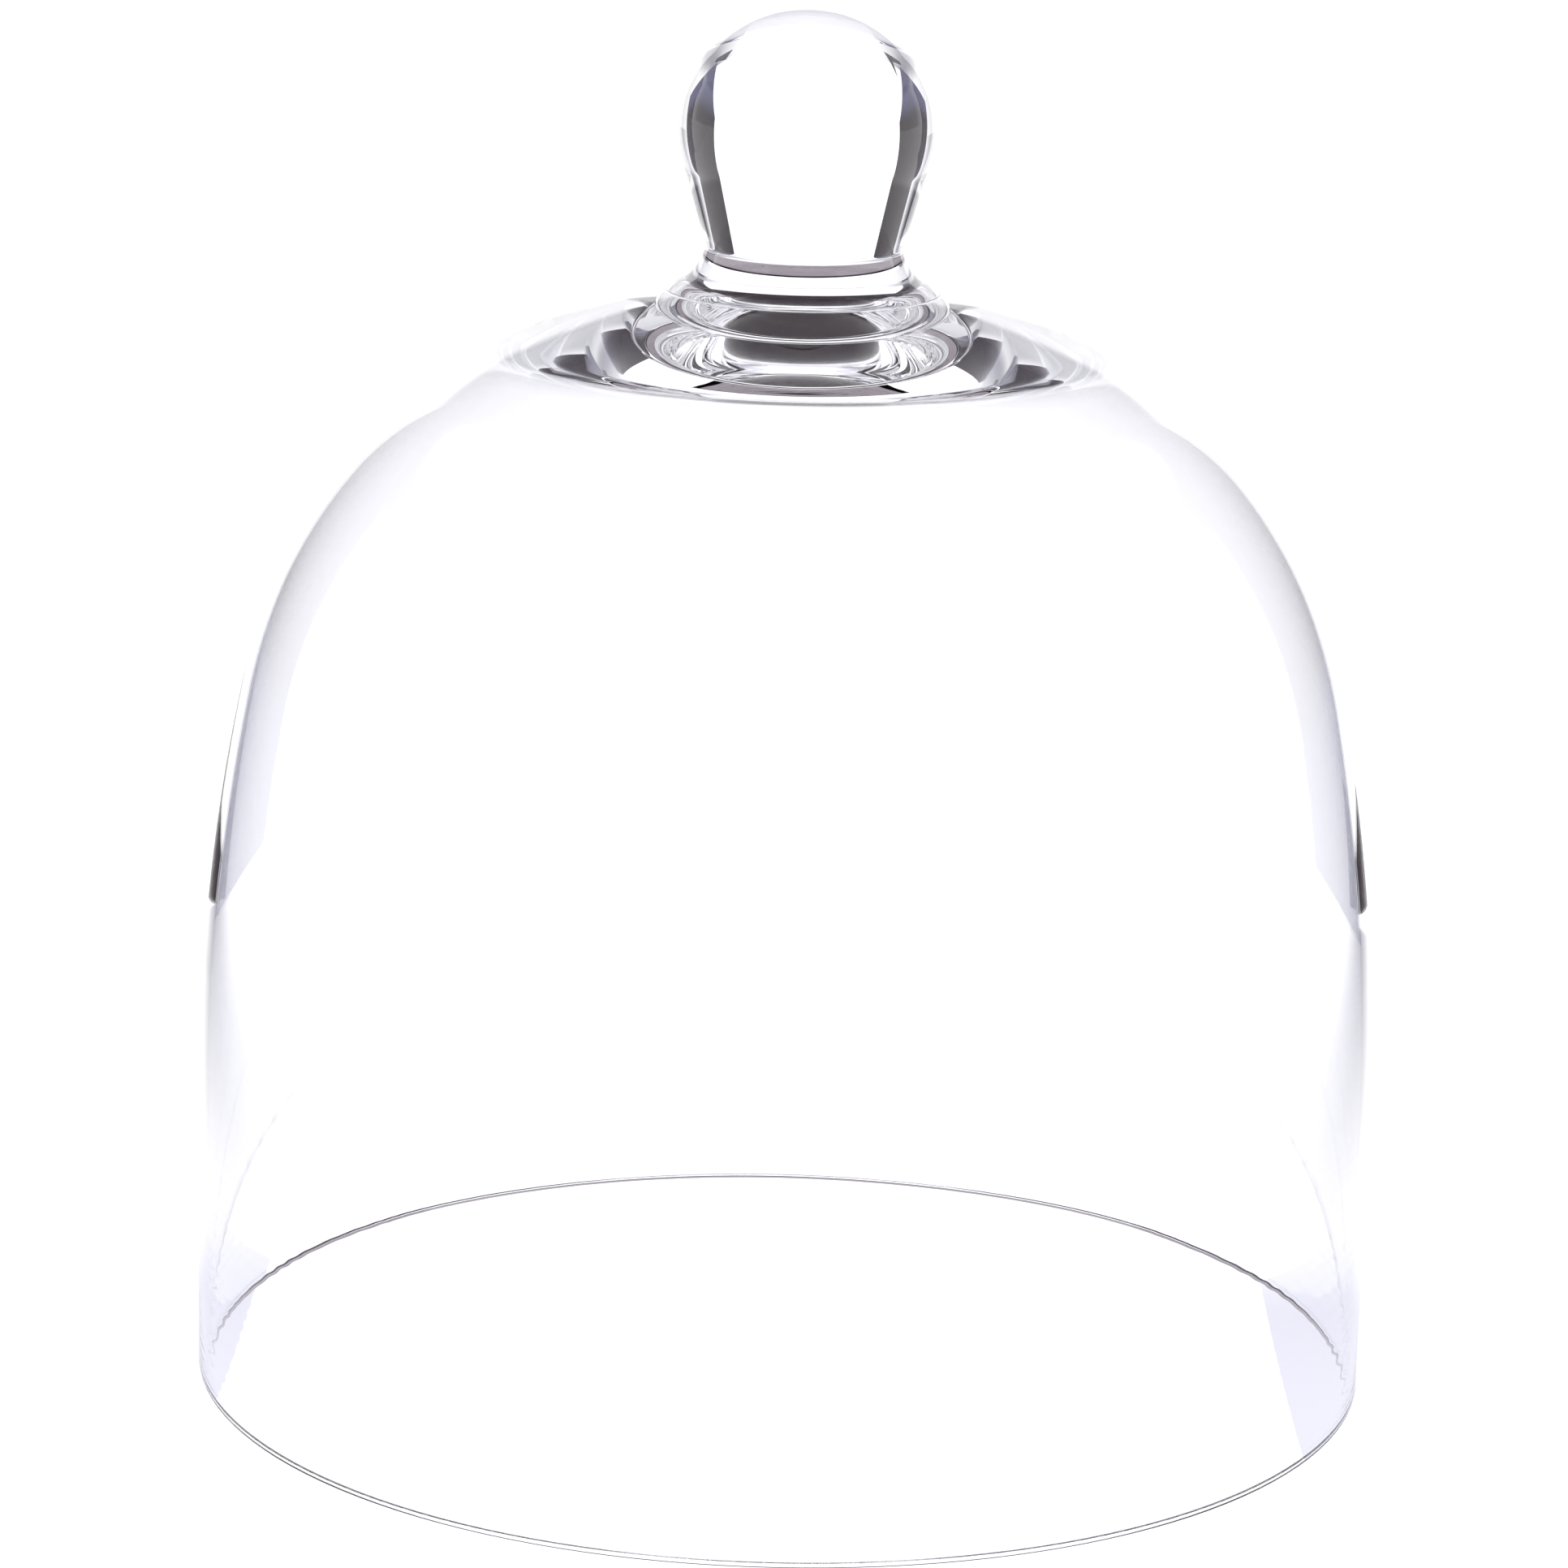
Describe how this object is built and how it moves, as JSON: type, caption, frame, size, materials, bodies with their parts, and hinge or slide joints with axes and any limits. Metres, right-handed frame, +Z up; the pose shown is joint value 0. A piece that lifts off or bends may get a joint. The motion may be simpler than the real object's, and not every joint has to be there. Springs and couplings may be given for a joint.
{
  "type": "bell jar dome",
  "caption": "Clear blown glass bell, open at the bottom, with a solid glass knob fused to its low crown.",
  "frame": {"origin": "centre of the circle that the rim rests on", "axes": "+Z up along the bell's axis, through the knob; X and Y are alike"},
  "size_m": [0.18, 0.18, 0.2098],
  "materials": {
    "clear_glass": "polished, fire-finished"
  },
  "bodies": {
    "root": {"dome_shell": "clear_glass", "knob": "clear_glass"}
  },
  "joints": []
}
